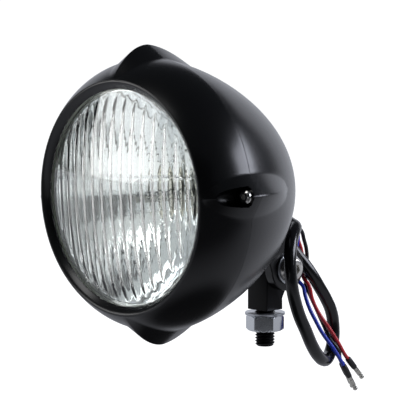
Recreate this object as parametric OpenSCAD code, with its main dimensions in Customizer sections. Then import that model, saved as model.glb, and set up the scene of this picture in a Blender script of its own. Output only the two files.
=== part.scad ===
// Round motorcycle headlight: a turned bullet shell with four fins, a clamped bezel with
// scooped screw seats, a fluted glass lens, a reflector with its bulb, and a pivoting stud mount.
// Millimetres. The origin is on the stud's axis at the seat face of the mount block, with +Z up.
// The lamp looks along -Y. Depths along the lamp's axis are measured back from the lens's edge.

/* [Lamp] */
// Radius of the body at the seam between bezel and shell
seam_r = 66.4; // [62:0.2:72]
// Depth of the seam behind the edge of the lens
seam_d = 22; // [20:0.5:26]
// Length of the bowl from its widest place to its tip
shell_l = 78.7; // [70:0.1:90]
// Roundness of the shell, where 2 is an ellipse and 1 a parabola
shell_power = 1.38; // [1.3:0.01:1.6]
// Radius of the arc that rounds the bezel from the seam to its nose
front_arc = 34; // [32:0.5:40]
// Reach of the bezel's nose ahead of the edge of the lens
nose_d = 5; // [4:0.5:6]
// Width of the bezel from the seam's radius in to the opening
lip_w = 13.9; // [13:0.1:15]
// Wall of the cast shell and bezel
wall = 3; // [2.6:0.1:3.4]
// Turn of fins and lens about the lamp's axis, away from the mount
lamp_turn = 4; // [0:0.5:6]
// Width of the groove at the seam
seam_gap = 0.5; // [0.3:0.1:0.8]

/* [Fins] */
// Height of a fin above the body
fin_h = 6.6; // [6:0.1:7.5]
// Width of a fin at its root
fin_w = 20.8; // [19:0.2:23]
// Length of a fin ahead of the seam
fin_front_l = 24; // [22:0.5:25]
// Length of a fin behind the seam
fin_rear_l = 37.5; // [34:0.5:44]
// Radius at which the bezel screws run along the side fins
screw_axis_r = 67.5; // [66.9:0.1:67.9]
// Depth of the seat under a bezel screw's head
screw_seat_d = 17.6; // [17:0.1:18.4]
// Diameter of a bezel screw's thread
screw_d = 4; // [3.5:0.1:4.2]
// Length of a bezel screw under its head
screw_l = 13; // [11:0.5:14]
// Diameter of a bezel screw's head
screw_head_d = 7; // [6.6:0.1:7.4]
// Height of a bezel screw's head
screw_head_h = 2.6; // [2.2:0.1:3]
// Radius of the scoop where it ends at the screw
scoop_r = 5.8; // [5:0.1:6]

/* [Lens and reflector] */
// Width of the lens's edge that the bezel covers
lens_cover = 4.5; // [4:0.1:5]
// Thickness of the lens
glass_t = 3.5; // [3.2:0.1:4]
// Height of the lens's dome over its edge
dome_h = 6.8; // [5:0.1:9]
// Distance between the lens's flutes
flute_pitch = 6.83; // [6.4:0.01:7]
// Number of flutes across the lens
flute_count = 15; // [13:2:15]
// Depth of a flute at the middle of the lens
flute_depth = 0.9; // [0.6:0.1:1.1]
// Height above the lamp's axis of the step between the two fields of flutes
field_step_h = 9.8; // [6:0.1:14]
// Thickness of the seal between lens and bezel
seal_t = 1; // [0.8:0.1:1.4]
// Focal length of the reflector
focal = 16; // [15:0.5:18]
// Width of the reflector's flange
flange_w = 6; // [5:0.1:7]
// Sheet thickness of the reflector
reflector_t = 0.8; // [0.6:0.1:1]
// Radius of the hole for the bulb
bulb_hole_r = 12; // [11.5:0.1:13]

/* [Bulb] */
// Diameter of the bulb's glass
bulb_d = 17; // [15:0.5:18]
// Length of the bulb's glass
bulb_l = 38; // [36:1:42]
// Radius of the bulb's flange
bulb_flange_r = 16; // [15.5:0.1:17]
// Thickness of the bulb's flange
bulb_flange_t = 1.5; // [1:0.1:2]

/* [Mount] */
// Width of the mount's tongue between the ears
tongue_w = 14; // [12:0.5:15]
// Depth of the mount block along the lamp
block_d = 11.2; // [10.4:0.2:12]
// Height of the pivot bolt above the seat
pivot_h = 20; // [19:0.5:23]
// Setback of the pivot bolt behind the stud
pivot_back = 3.7; // [3:0.1:4.5]
// Radius of the tongue's round end
tongue_r = 9.3; // [9:0.1:10]
// Thickness of an ear on the shell
ear_t = 5.2; // [4.5:0.1:6]
// Radius of an ear's round end
ear_r = 11.3; // [10.5:0.1:12]
// Height of the lamp's axis above the seat
axis_h = 62.3; // [60:0.1:66]
// Distance from the edge of the lens back to the stud
stud_back = 97.4; // [95:0.1:99]
// Diameter of the pivot bolt
pivot_d = 8; // [7:0.5:8]
// Diameter of the stud
stud_d = 10; // [9:0.5:10]
// Length of the stud below the seat
stud_l = 20.3; // [19:0.1:24]
// Gap that takes the bracket between seat and washer
bracket_gap = 2.3; // [1.5:0.1:4]
// Diameter of the stud's washer
washer_d = 20.3; // [19:0.1:22]
// Thickness of the stud's washer
washer_t = 2; // [1.6:0.1:2.4]
// Width across the flats of the stud's nut
nut_af = 17; // [16:0.5:17]
// Height of the stud's nut
nut_h = 8; // [7:0.5:9]

/* [Cable] */
// Diameter of the cable's jacket
jacket_d = 6.4; // [5.8:0.1:6.6]
// Diameter of a single wire
wire_d = 2; // [1.8:0.1:2.2]
// Radius of the hole for the grommet
grommet_hole_r = 4.8; // [4.5:0.1:5]
// Depth of the grommet's hole below the lamp's axis
grommet_drop = 14.5; // [14:0.5:16]
// Lean of the grommet below the lamp's axis
grommet_tilt = 20; // [15:1:25]

/* [Hidden] */
$fn = 96;

black = [0.03, 0.03, 0.035];
fit_gap = 0.2;        // between pieces that slide together and stay
run_gap = 0.05;       // radial clearance of the pivot bolt
side_gap = 0.3;       // between an ear and the tongue
thread_gap = 0.05;    // radial clearance drawn between a thread and its hole
fin_count = 4;
screw_angles = [0, 180];
fin_steps = 14;
shell_steps = 28;
bezel_steps = 16;

opening_r = seam_r - lip_w;
lens_r = opening_r + lens_cover;
reflector_r = lens_r - flange_w;
widest_d = seam_d - 1;
nose_round = 0.9;
seat_r = lens_r + 0.3;
lens_seat_d = 0.6;
glass_front_d = lens_seat_d + seal_t;
glass_back_d = glass_front_d + glass_t;
register_step = 4.9;  // from the body's outside in to the bezel's register
register_r = seam_r - register_step;
register_d = seam_d - 5;
register_wall = 1.8;
shell_end_d = widest_d + shell_l;

// Radius of the bezel's outside at depth d
function bezel_r(d) = seam_r - front_arc + sqrt(pow(front_arc, 2) - pow(widest_d - d, 2));
// Radius at depth d of a bowl with its widest radius r at the widest place and a length l
function bullet_r(d, r, l) = r * sqrt(max(0, 1 - pow(max(0, d - widest_d) / l, shell_power)));
function shell_r(d) = bullet_r(d, seam_r, shell_l);
function body_r(d) = d < widest_d ? bezel_r(d) : shell_r(d);
// Depth at which a bowl of radius r and length l has the radius at_r
function bullet_d(at_r, r, l) = widest_d + l * pow(1 - pow(at_r / r, 2), 1 / shell_power);
// Share of the full height and width that a fin has at depth d
function fin_share(d) = let (l = d < seam_d ? fin_front_l : fin_rear_l)
    max(0, 1 - pow(abs(d - seam_d) / l, 2));

// Places a piece drawn along +Z on the lamp's axis, with depth running back
module on_lamp() {
    translate([0, -stud_back, axis_h]) rotate([-90, 0, 0]) children();
}

// The same, turned with the fins
module turned_lamp() {
    on_lamp() rotate([0, 0, -lamp_turn]) children();
}

module around_fins() {
    for (i = [0:fin_count - 1]) rotate([0, 0, i * 360 / fin_count]) children();
}

// The two side fins carry the bezel's screws
module at_screws() {
    turned_lamp() for (a = screw_angles) rotate([0, 0, a]) translate([screw_axis_r, 0, 0]) children();
}

// A solid skinned over rings of equal point count
module skin(rings) {
    n = len(rings[0]);
    last = len(rings) - 1;
    polyhedron(
        points = [for (ring = rings) each ring],
        faces = concat(
            [[for (j = [0:n - 1]) j]],
            [[for (j = [n - 1:-1:0]) last * n + j]],
            [for (i = [0:last - 1]) for (j = [0:n - 1])
                [i * n + j, (i + 1) * n + j, (i + 1) * n + (j + 1) % n, i * n + (j + 1) % n]]));
}

// One half of a fin on the +X side, from depth d0 to d1: a ridge with two flat flanks, which run
// on below the body's surface so that they cut it cleanly
fin_root = 1.2;
fin_set = 0.1;  // step from the seam's face to a fin's end
fin_tip_share = 0.02;
function fin_ring(d) = let (
        share = max(fin_share(d), fin_tip_share),
        ridge = body_r(d) + fin_h * share,
        w = fin_w / 2 * share,
        root = sqrt(pow(body_r(d), 2) - pow(w, 2)),
        foot_w = w * (1 + fin_root / (ridge - root)))
    [[root - fin_root, -foot_w, d], [ridge, 0, d], [root - fin_root, foot_w, d]];
module fin_half(d0, d1) {
    skin([for (i = [0:fin_steps]) fin_ring(d0 + (d1 - d0) * i / fin_steps)]);
}

// The scoop that leads to a screw: a cone that opens from the fin's front tip
scoop_tip_d = -1;
scoop_tip_r = bezel_r(scoop_tip_d) + 2.6;
scoop_end_d = 15.5;
module scoop() {
    run = scoop_end_d - scoop_tip_d;
    rise = screw_axis_r - scoop_tip_r;
    translate([scoop_tip_r - screw_axis_r, 0, scoop_tip_d]) rotate([0, atan2(rise, run), 0])
        cylinder(h = norm([run, rise]), r1 = 0.05, r2 = scoop_r);
}

// Housing
module headlight_shell() {
    rear_face_d = seam_d + seam_gap / 2;
    blind = 1;
    color(black) difference() {
        union() {
            on_lamp() rotate_extrude() polygon(concat(
                [[0, shell_end_d]],
                [for (i = [1:shell_steps]) let (d = bowl_step(i, shell_l, rear_face_d)) [shell_r(d), d]],
                [[register_r - fit_gap, rear_face_d], [register_r - fit_gap, register_d],
                 [0, register_d]]));
            turned_lamp() around_fins() fin_half(rear_face_d + fin_set, seam_d + fin_rear_l);
            ear(1);
            ear(-1);
        }
        shell_hollow();
        at_screws() translate([0, 0, seam_d - 1])
            cylinder(h = screw_seat_d + screw_l + blind - seam_d + 1, r = screw_d / 2 + thread_gap);
        on_grommet() translate([0, 0, -2 * wall]) cylinder(h = 4 * wall, r = grommet_hole_r);
        on_pivot(-2 * tongue_w) cylinder(h = 4 * tongue_w, r = pivot_d / 2 + run_gap);
    }
}

// Depths along a bowl of length l, from near its tip to the depth d0, closer near the tip
function bowl_step(i, l, d0) = let (t = 1 - i / shell_steps)
    d0 + (widest_d + l - d0) * t * (2 - t);

ring_end_d = seam_d + 8;  // end of the thick ring that takes the screws
module shell_hollow() {
    r = seam_r - wall;
    l = shell_l - wall;
    on_lamp() rotate_extrude() polygon(concat(
        [[0, widest_d + l]],
        [for (i = [1:shell_steps]) let (d = bowl_step(i, l, ring_end_d)) [bullet_r(d, r, l), d]],
        [[register_r - register_wall, ring_end_d], [register_r - register_wall, register_d - 1],
         [0, register_d - 1]]));
}

// An ear of the clevis on one side of the tongue
ear_in = tongue_w / 2 + side_gap;
ear_out = ear_in + ear_t;
module ear(side) {
    rise = axis_h - pivot_h;
    translate([side > 0 ? ear_in : -ear_out, 0, 0]) rotate([90, 0, 90]) linear_extrude(ear_t)
        translate([pivot_back, pivot_h]) {
            circle(r = ear_r);
            polygon([[-ear_r, -1], [-ear_r - 6.4, 0.43 * rise], [-ear_r - 2, 0.6 * rise],
                     [-6, 0.71 * rise], [-5, 0.71 * rise], [ear_r, 0]]);
        }
}

module front_bezel() {
    rear_face_d = seam_d - seam_gap / 2;
    first_d = 0.4 - nose_d;
    groove_r = seat_r + 1.6;
    lip_r = seat_r + 0.6;
    color(black) difference() {
        union() {
            on_lamp() rotate_extrude() polygon(concat(
                [[opening_r, lens_seat_d]],
                [for (a = [180:30:270])
                    [opening_r + nose_round * (1 + cos(a)), nose_round * (1 + sin(a)) - nose_d]],
                [for (i = [0:bezel_steps]) let (t = i / bezel_steps)
                    let (d = first_d + (rear_face_d - first_d) * t * (1 + t) / 2) [body_r(d), d]],
                [[register_r, rear_face_d], [register_r, register_d - fit_gap],
                 [lip_r, groove_end_d + 1.5], [lip_r, groove_end_d], [groove_r, groove_end_d],
                 [groove_r, groove_d + 1], [seat_r, groove_d], [seat_r, lens_seat_d]]));
            turned_lamp() around_fins() fin_half(seam_d - fin_front_l, rear_face_d - fin_set);
        }
        at_screws() {
            scoop();
            translate([0, 0, screw_seat_d - screw_head_h - 2.6])
                cylinder(h = screw_head_h + 2.6, r = screw_head_d / 2 + 0.9);
            cylinder(h = 2 * seam_d, r = screw_d / 2 + fit_gap);
        }
    }
}

module bezel_screws() {
    socket_af = 2.5;
    dome = 0.9;
    color("silver") at_screws() translate([0, 0, screw_seat_d]) difference() {
        union() {
            cylinder(h = screw_l, r = screw_d / 2);
            translate([0, 0, -screw_head_h + dome])
                cylinder(h = screw_head_h - dome, r = screw_head_d / 2);
            translate([0, 0, -screw_head_h])
                cylinder(h = dome, r1 = screw_head_d / 2 - 1, r2 = screw_head_d / 2);
        }
        translate([0, 0, -screw_head_h - 1]) cylinder(h = 2.6, r = socket_af / sqrt(3), $fn = 6);
    }
}

// Glass and reflector
module lens() {
    outer_r = (pow(opening_r, 2) + pow(dome_h, 2)) / (2 * dome_h);
    inner_r = outer_r - glass_t;
    centre_d = outer_r - dome_h;
    hollow_r = opening_r - 1;
    color([0.85, 0.92, 0.95, 0.5]) turned_lamp() difference() {
        union() {
            intersection() {
                translate([0, 0, -dome_h - 1]) cylinder(h = dome_h + 2 + glass_t, r = opening_r - fit_gap);
                translate([0, 0, centre_d]) sphere(r = outer_r);
            }
            translate([0, 0, glass_front_d]) cylinder(h = glass_t, r = lens_r);
        }
        intersection() {
            translate([0, 0, -dome_h]) cylinder(h = 3 * dome_h, r = hollow_r);
            translate([0, 0, centre_d]) sphere(r = inner_r);
        }
        for (i = [0:flute_count - 1]) let (x = (i - (flute_count - 1) / 2) * flute_pitch) {
            reach = sqrt(pow(hollow_r - 2, 2) - pow(x, 2));
            flute(x, -reach, -field_step_h - flute_land / 2, inner_r, centre_d);
            flute(x, -field_step_h + flute_land / 2, reach, inner_r, centre_d);
        }
    }
}

// One flute pressed into the inside of the lens at x, from y0 to y1: a groove with a round
// section that follows the dome and leaves a narrow ridge to its neighbour
flute_land = 0.7;
module flute(x, y0, y1, inner_r, centre_d) {
    if (y1 - y0 > flute_pitch) {
        half = (flute_pitch - flute_land) / 2;
        section_r = (pow(half, 2) + pow(flute_depth, 2)) / (2 * flute_depth);
        path_r = sqrt(pow(inner_r, 2) - pow(x, 2));
        a0 = asin(y0 / path_r);
        a1 = asin(y1 / path_r);
        translate([x, 0, centre_d]) rotate([0, 90, 0]) rotate([0, 0, a0])
            rotate_extrude(angle = a1 - a0)
                translate([path_r - section_r + flute_depth, 0]) circle(r = section_r);
    }
}

module lens_seal() {
    color([0.1, 0.1, 0.1]) on_lamp() rotate_extrude()
        translate([opening_r + 0.2, lens_seat_d]) square([lens_r - opening_r - 0.2, seal_t]);
}

reflector_edge_d = glass_back_d + 0.8;
vertex_d = reflector_edge_d + pow(reflector_r, 2) / (4 * focal);
function bowl_d(r) = vertex_d - pow(r, 2) / (4 * focal);
bowl_steps = 16;
function bowl_ring(i) = bulb_hole_r + (reflector_r - bulb_hole_r) * i / bowl_steps;
neck_end_d = bowl_d(bulb_hole_r) + 1.8;
neck_t = 1;
module reflector() {
    color("gainsboro") on_lamp() rotate_extrude() polygon(concat(
        [for (i = [0:bowl_steps]) [bowl_ring(i), bowl_d(bowl_ring(i))]],
        [[reflector_r, glass_back_d], [lens_r, glass_back_d], [lens_r, glass_back_d + reflector_t],
         [reflector_r + 1.5 * reflector_t, glass_back_d + reflector_t]],
        [for (i = [bowl_steps:-1:1])
            [bowl_ring(i) + reflector_t * 0.7, bowl_d(bowl_ring(i)) + reflector_t]],
        [[bulb_hole_r + neck_t, bowl_d(bulb_hole_r) + reflector_t * 0.7],
         [bulb_hole_r + neck_t, neck_end_d], [bulb_hole_r, neck_end_d]]));
}

// Spring clips that hook behind the bezel's groove and press the glass unit forward
clip_w = 9;
clip_t = 0.7;
clip_count = 4;
groove_d = 9;
groove_end_d = 12;
module reflector_clips() {
    back = glass_back_d + reflector_t;
    out = lens_r - 0.2;
    color("lightgray") turned_lamp() rotate([0, 0, 180 / clip_count]) around_fins()
        translate([0, clip_w / 2, 0]) rotate([90, 0, 0]) linear_extrude(clip_w)
            polygon([[out - 3, back], [out, back], [out, groove_d + 1], [out + 1.4, groove_d + 1.8],
                [out + 1.4, groove_end_d], [out + 1.4 - clip_t, groove_end_d],
                [out + 1.4 - clip_t, groove_d + 2.2], [out - clip_t, groove_d + 1.4],
                [out - clip_t, back + clip_t], [out - 3, back + clip_t]]);
}

// Ring on the reflector's neck that the bulb's flange sits on
holder_t = 2.4;
holder_back_d = neck_end_d + holder_t;
module bulb_holder() {
    rim_r = bulb_flange_r + 1.2;
    rim_t = 1.2;
    color("silver") on_lamp() rotate_extrude() polygon([[bulb_hole_r, neck_end_d],
        [bulb_hole_r + 1.4, neck_end_d], [rim_r + rim_t, neck_end_d + rim_t],
        [rim_r + rim_t, holder_back_d + rim_t], [rim_r, holder_back_d + rim_t],
        [rim_r, holder_back_d], [bulb_hole_r, holder_back_d]]);
}

bulb_front_d = holder_back_d - bulb_l;
module bulb_glass() {
    r = bulb_d / 2;
    t = 1;
    steps = 8;
    color([0.9, 0.95, 1, 0.4]) on_lamp() rotate_extrude() polygon(concat(
        [for (i = [0:steps]) let (a = 90 - 90 * i / steps)
            [r * cos(a), bulb_front_d + r * 0.7 * (1 - sin(a))]],
        [[r, bulb_base_d], [r - t, bulb_base_d]],
        [for (i = [steps:-1:0]) let (a = 90 - 90 * i / steps)
            [(r - t) * cos(a), bulb_front_d + t + (r - t) * 0.7 * (1 - sin(a))]]));
}

// Two coiled filaments along the axis, each between wires that stand on the cap
dipped_d = bulb_front_d + 8;
main_d = bulb_front_d + 20;
filament_l = 5.5;
post_r = 0.5;
post_x = 4.6;
base_reach = 4;  // depth of the cap's socket for the glass
bulb_base_d = holder_back_d - base_reach;
module bulb_filaments() {
    coil_r = 0.8;
    color("silver") on_lamp() {
        filament(dipped_d, coil_r, 1);
        filament(main_d, coil_r, -1);
    }
}

module filament(d, r, side) {
    foot = [side * post_x, -side * 1.6];
    translate([0, 0, d]) cylinder(h = filament_l, r = r);
    for (end = [0, 1]) let (x = foot[0] * (end == 0 ? 1 : 0.7), at = d + end * filament_l) {
        translate([0, foot[1], at]) rotate([0, side * 90, 0]) cylinder(h = abs(x), r = post_r / 2);
        translate([0, min(0, foot[1]), at]) rotate([-90, 0, 0]) cylinder(h = abs(foot[1]), r = post_r / 2);
        translate([x, foot[1], at - post_r / 2]) cylinder(h = bulb_base_d - at + post_r / 2, r = post_r / 2);
    }
}

// Cup under the dipped filament, on its own strip
module bulb_shield() {
    cup_r = 3.4;
    cup_t = 0.5;
    cup_l = 9;
    strip_w = 3;
    color("gray") on_lamp() translate([0, 0, dipped_d - 1.5]) {
        rotate_extrude(angle = 180) translate([cup_r - cup_t, 0]) square([cup_t, cup_l]);
        translate([-strip_w / 2, cup_r - cup_t, 0])
            cube([strip_w, cup_t * 0.7, bulb_base_d - dipped_d + 1.5]);
    }
}

module bulb_cap() {
    collar_l = 7;
    color("silver") on_lamp() difference() {
        union() {
            translate([0, 0, holder_back_d]) cylinder(h = bulb_flange_t, r = bulb_flange_r);
            translate([0, 0, holder_back_d - collar_l]) cylinder(h = collar_l + 1, r = bulb_d / 2 + 1.2);
            translate([0, 0, holder_back_d + 1]) cylinder(h = cap_l - 1, r = bulb_d / 2 + 1.5);
        }
        translate([0, 0, holder_back_d - collar_l - 1])
            cylinder(h = collar_l + 1 - holder_back_d + bulb_base_d, r = bulb_d / 2 + thread_gap);
    }
}

cap_l = 10;
cap_back_d = holder_back_d + cap_l;
blade_l = 8;
blade_w = 8;
blade_t = 0.8;
blade_out = 6;  // distance of a blade from the lamp's axis
module bulb_terminals() {
    color("silver") on_lamp() translate([0, 0, cap_back_d]) {
        for (side = [-1, 1]) translate([side * blade_out - blade_t / 2, -blade_w / 2, 0])
            cube([blade_t, blade_w, blade_l]);
        translate([-blade_w / 2, -blade_out - blade_t / 2, 0]) cube([blade_w, blade_t, blade_l]);
    }
}

// Wire spring that holds the bulb's flange down
spring_wire_d = 1.6;
module bulb_spring() {
    bend_r = bulb_d / 2 + 1.5 + 2.4;
    back_d = holder_back_d + bulb_flange_t + spring_wire_d / 2;
    color("silver") on_lamp() translate([0, 0, back_d]) {
        rotate([0, 0, -60]) rotate_extrude(angle = 300) translate([bend_r, 0]) circle(d = spring_wire_d);
    }
}

connector_gap = 0.3;
connector_l = 16;
connector_w = 21;
connector_h = 16;
connector_front_d = cap_back_d + connector_gap;
module bulb_connector() {
    slot_w = blade_w + 2 * connector_gap;
    slot_t = blade_t + 2 * fit_gap;
    color([0.12, 0.12, 0.12]) on_lamp() translate([0, 0, connector_front_d]) difference() {
        translate([-connector_w / 2, -blade_out - 3.5, 0]) cube([connector_w, connector_h, connector_l]);
        for (side = [-1, 1]) translate([side * blade_out - slot_t / 2, -slot_w / 2, -1])
            cube([slot_t, slot_w, blade_l + 2]);
        translate([-slot_w / 2, -blade_out - slot_t / 2, -1]) cube([slot_w, slot_t, blade_l + 2]);
    }
}

// Bellows boot from the bulb holder to the cap
module rubber_boot() {
    r0 = bulb_flange_r + 2.6;
    d0 = holder_back_d - 1;
    t = 1.2;
    neck_r = bulb_d / 2 + 1.7;
    color([0.07, 0.07, 0.07]) on_lamp() rotate_extrude() polygon([[r0, d0], [r0 + t, d0],
        [r0 + t, d0 + 4], [r0 - 2, d0 + 6.2], [r0 - 0.6, d0 + 7.4], [neck_r + 3, d0 + 9],
        [neck_r + 2, d0 + 11], [neck_r, d0 + 11], [neck_r, d0 + 9], [neck_r + 1.6, d0 + 8.6],
        [r0 - 2.2, d0 + 7.4], [r0 - 3.2, d0 + 6.2], [r0, d0 + 3.4]]);
}

// Grommet where the cable leaves the shell
grommet_place = [0, bullet_d(grommet_drop, seam_r, shell_l) - stud_back, axis_h - grommet_drop];
module on_grommet() {
    translate(grommet_place) rotate([-90 - grommet_tilt, 0, 0]) children();
}

grommet_lip = 1.6;
grommet_face = 3.4;
module cable_grommet() {
    bore = jacket_d / 2 + 0.1;
    grip = grommet_hole_r - 0.1;
    lip_r = grommet_hole_r + grommet_lip;
    color([0.08, 0.08, 0.08]) on_grommet() rotate_extrude() polygon([[bore, -wall - 3],
        [lip_r, -wall - 2.6], [lip_r, -wall - 1.2], [grip, -wall - 1.2], [grip, 0.6],
        [lip_r, 0.6], [lip_r, 1.8], [bore + 1.2, grommet_face], [bore, grommet_face]]);
}

// Mount
module mount_block() {
    chamfer = 1;
    color(black) difference() {
        union() {
            translate([-tongue_w / 2, -block_d / 2, 0]) cube([tongue_w, block_d, pivot_h]);
            translate([-tongue_w / 2, pivot_back, pivot_h]) rotate([0, 90, 0])
                cylinder(h = tongue_w, r = tongue_r);
            translate([-tongue_w / 2, 0, 0]) rotate([90, 0, 90]) linear_extrude(tongue_w)
                polygon([[block_d / 2 - 1, 4], [block_d / 2, 4], [pivot_back + tongue_r * cos(-25),
                    pivot_h + tongue_r * sin(-25)], [pivot_back, pivot_h], [block_d / 2 - 1, pivot_h]]);
            translate([0, 0, -stud_l + chamfer]) cylinder(h = stud_l, r = stud_d / 2);
            translate([0, 0, -stud_l]) cylinder(h = chamfer, r1 = stud_d / 2 - chamfer, r2 = stud_d / 2);
        }
        translate([0, pivot_back, pivot_h]) rotate([0, 90, 0])
            cylinder(h = 2 * tongue_w, r = pivot_d / 2 + run_gap, center = true);
    }
}

pivot_washer_t = 1.3;
pivot_washer_r = pivot_d;
pivot_nut_h = 7.5;
head_out = ear_out + pivot_washer_t;
module on_pivot(x) {
    translate([x, pivot_back, pivot_h]) rotate([0, 90, 0]) children();
}

module pivot_bolt() {
    head_h = 4.4;
    head_r = 0.875 * pivot_d;
    socket_af = 5;
    color("silver") difference() {
        union() {
            on_pivot(-head_out - pivot_nut_h - 1.5)
                cylinder(h = 2 * head_out + pivot_nut_h + 1.5, r = pivot_d / 2);
            on_pivot(head_out) rotate_extrude() polygon(concat([[0, 0], [head_r, 0]],
                [for (a = [15:15:75]) [head_r * 0.55 + head_r * 0.45 * cos(a), head_h * sin(a)]],
                [[head_r * 0.5, head_h], [0, head_h]]));
        }
        on_pivot(head_out + head_h - 2.6) cylinder(h = 4, r = socket_af / sqrt(3), $fn = 6);
    }
}

module pivot_washers() {
    color("silver") for (x = [ear_out, -head_out]) difference() {
        on_pivot(x) cylinder(h = pivot_washer_t, r = pivot_washer_r);
        on_pivot(x - 1) cylinder(h = pivot_washer_t + 2, r = pivot_d / 2 + fit_gap);
    }
}

// A hexagon nut of width af and height h on a thread of diameter d, chamfered at both ends
module hex_nut(af, h, d) {
    corner_r = af / sqrt(3);
    bevel = corner_r - af / 2;
    difference() {
        intersection() {
            cylinder(h = h, r = corner_r, $fn = 6);
            rotate_extrude() polygon([[0, 0], [af / 2 - 0.2, 0], [corner_r, bevel * 0.62],
                [corner_r, h - bevel * 0.62], [af / 2 - 0.2, h], [0, h]]);
        }
        translate([0, 0, -1]) cylinder(h = h + 2, r = d / 2 + thread_gap);
    }
}

module pivot_nut() {
    color("silver") on_pivot(-head_out - pivot_nut_h) hex_nut(1.625 * pivot_d, pivot_nut_h, pivot_d);
}

module stud_washer() {
    color("gainsboro") translate([0, 0, -bracket_gap - washer_t]) difference() {
        cylinder(h = washer_t, r = washer_d / 2);
        translate([0, 0, -1]) cylinder(h = washer_t + 2, r = stud_d / 2 + fit_gap);
    }
}

// One face of the nut looks forward and to the side
nut_turn = 16;
module stud_nut() {
    color("silver") translate([0, 0, -bracket_gap - washer_t - nut_h]) rotate([0, 0, nut_turn])
        hex_nut(nut_af, nut_h, stud_d);
}

// Cable and wires, each swept along points chosen by hand
drawn_place = [0, -0.437, 47.8];  // where the grommet was when the jacket's points were chosen
jacket_points = [[0, -6.5, 50], [0, -1.8, 48.3], [0, 2.9, 46.6], [0.6, 6.6, 45.2], [3, 9.6, 43.8],
    [6.4, 10.2, 42.6], [10, 9, 41.9], [14, 7.4, 41.1], [17, 3.8, 39.7], [19.6, -0.2, 37.4],
    [22, -3.8, 34.2], [23.8, -6.2, 30], [25, -7.6, 24.6], [25.8, -7.8, 18.4], [26, -6.8, 11.6],
    [26, -4.6, 4.6], [26, -1.6, -2.4], [26, 2.8, -10], [25.2, 8.2, -18.2], [23.4, 14.6, -24.4],
    [20.4, 21.6, -27.8], [17, 28, -28.3], [13.9, 33.5, -25.8], [12.4, 37.2, -20], [11.4, 38.4, -13],
    [11, 37.2, -5.6], [10.6, 33.6, 1.4], [10, 29, 8.2], [9, 24.8, 14.6], [7, 20.8, 20.8],
    [4.8, 17.9, 25.2], [3, 16.4, 28.4]];
// The jacket's first stretch follows the grommet
jacket_route = [for (i = [0:len(jacket_points) - 1])
    jacket_points[i] + max(0, 1 - i / 9) * (grommet_place - drawn_place)];
blue_route = [[4.1, 15.5, 28.9], [4.4, 14.6, 31.2], [4.7, 15, 33.8], [4.8, 16.8, 35.4],
    [4.4, 19, 34.8], [3, 20.6, 32.2], [1.8, 21.2, 29], [1.6, 21.6, 25.4], [1.8, 22.4, 21],
    [2.6, 21, 15.8], [5, 18.8, 12], [8.2, 19.4, 8.6], [9.6, 19.2, 4.8], [12, 19.8, -1.6],
    [14.4, 21.8, -8], [16.6, 24.8, -14.8], [18.8, 30.2, -22.6], [20.8, 34.8, -30.4],
    [21, 35.8, -32.1]];
red_route = [[1.8, 16.5, 28.1], [0.2, 16, 31], [-0.5, 17.4, 34.2], [-0.3, 20, 35.6],
    [0.6, 22.4, 34.2], [1.2, 22.9, 31.4], [1.8, 24.4, 26.6], [2, 25.4, 20.6],
    [3.4, 23.8, 15.2], [6.8, 21.6, 12.2], [10, 21.4, 9.6], [11, 23.2, 2], [13, 26, -5.2],
    [15.6, 30.6, -12.8], [17.8, 35, -20.4], [18.9, 39.4, -27.6], [19, 41, -29.3]];
black_route = [[3.2, 17.6, 29.3], [2, 17.3, 32.6], [1.8, 19, 36.4], [1.8, 21.8, 38],
    [2, 24.4, 36.2], [2.2, 25.8, 32.2], [2.4, 27.6, 26.4], [2.2, 28.2, 20.2], [3.2, 26.6, 14],
    [5.6, 24, 8.8], [8.8, 24, 3.6], [10.2, 27, -3.4], [12.6, 29.8, -11.6], [15.4, 31.6, -18.6],
    [18.6, 34.8, -24.8], [17.8, 36.8, -29.6], [17.9, 37.7, -31.2]];

function unit(v) = v / norm(v);
// Tangent of a route at its point i
function along(route, i) = unit(route[min(i + 1, len(route) - 1)] - route[max(i - 1, 0)]);
// A frame carried along the route, so that the tube doesn't twist
function carried(route, i) = i == 0
    ? let (t = along(route, 0)) unit(cross(t, abs(t[2]) < 0.9 ? [0, 0, 1] : [1, 0, 0]))
    : let (t = along(route, i), side = carried(route, i - 1)) unit(side - t * (side * t));
module tube(route, d, sides) {
    skin([for (i = [0:len(route) - 1]) let (t = along(route, i), u = carried(route, i), v = cross(t, u))
        [for (k = [0:sides - 1]) let (a = -360 * k / sides)
            route[i] + d / 2 * (cos(a) * u + sin(a) * v)]]);
}

module cable_jacket() {
    color([0.05, 0.05, 0.05]) tube(jacket_route, jacket_d, 10);
}

module wire_blue() {
    color("mediumblue") tube(blue_route, wire_d, 8);
}

module wire_red() {
    color("firebrick") tube(red_route, wire_d, 8);
}

module wire_black() {
    color([0.05, 0.05, 0.05]) tube(black_route, wire_d, 8);
}

// Draws a piece along the end of a route, from its last point on
module at_end(route) {
    t = along(route, len(route) - 1);
    translate(route[len(route) - 1]) rotate([0, acos(t[2]), atan2(t[1], t[0])]) children();
}

sleeve_l = 7.5;
sleeve_d = 3.2;
pin_d = 2.5;
bullet_l = 15.5;
sleeve_lap = 1;  // depth to which the wire's end reaches into the sleeve's blind end
module end_sleeve() {
    difference() {
        cylinder(h = sleeve_l, r = sleeve_d / 2);
        translate([0, 0, sleeve_lap]) cylinder(h = sleeve_l, r = pin_d / 2 + thread_gap);
    }
}

// A crimped pin with a round head
module bullet() {
    neck = 0.7;
    r = pin_d / 2;
    translate([0, 0, sleeve_lap]) cylinder(h = bullet_l - sleeve_lap - 2.4, r = r);
    translate([0, 0, bullet_l - 2.4]) cylinder(h = 1, r = r * neck);
    translate([0, 0, bullet_l - 1.5]) cylinder(h = 1, r1 = r * neck, r2 = r);
    translate([0, 0, bullet_l - 0.5]) cylinder(h = 0.9, r1 = r, r2 = r * neck);
}

module sleeve_blue() {
    color([0.06, 0.06, 0.06]) at_end(blue_route) end_sleeve();
}

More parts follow.
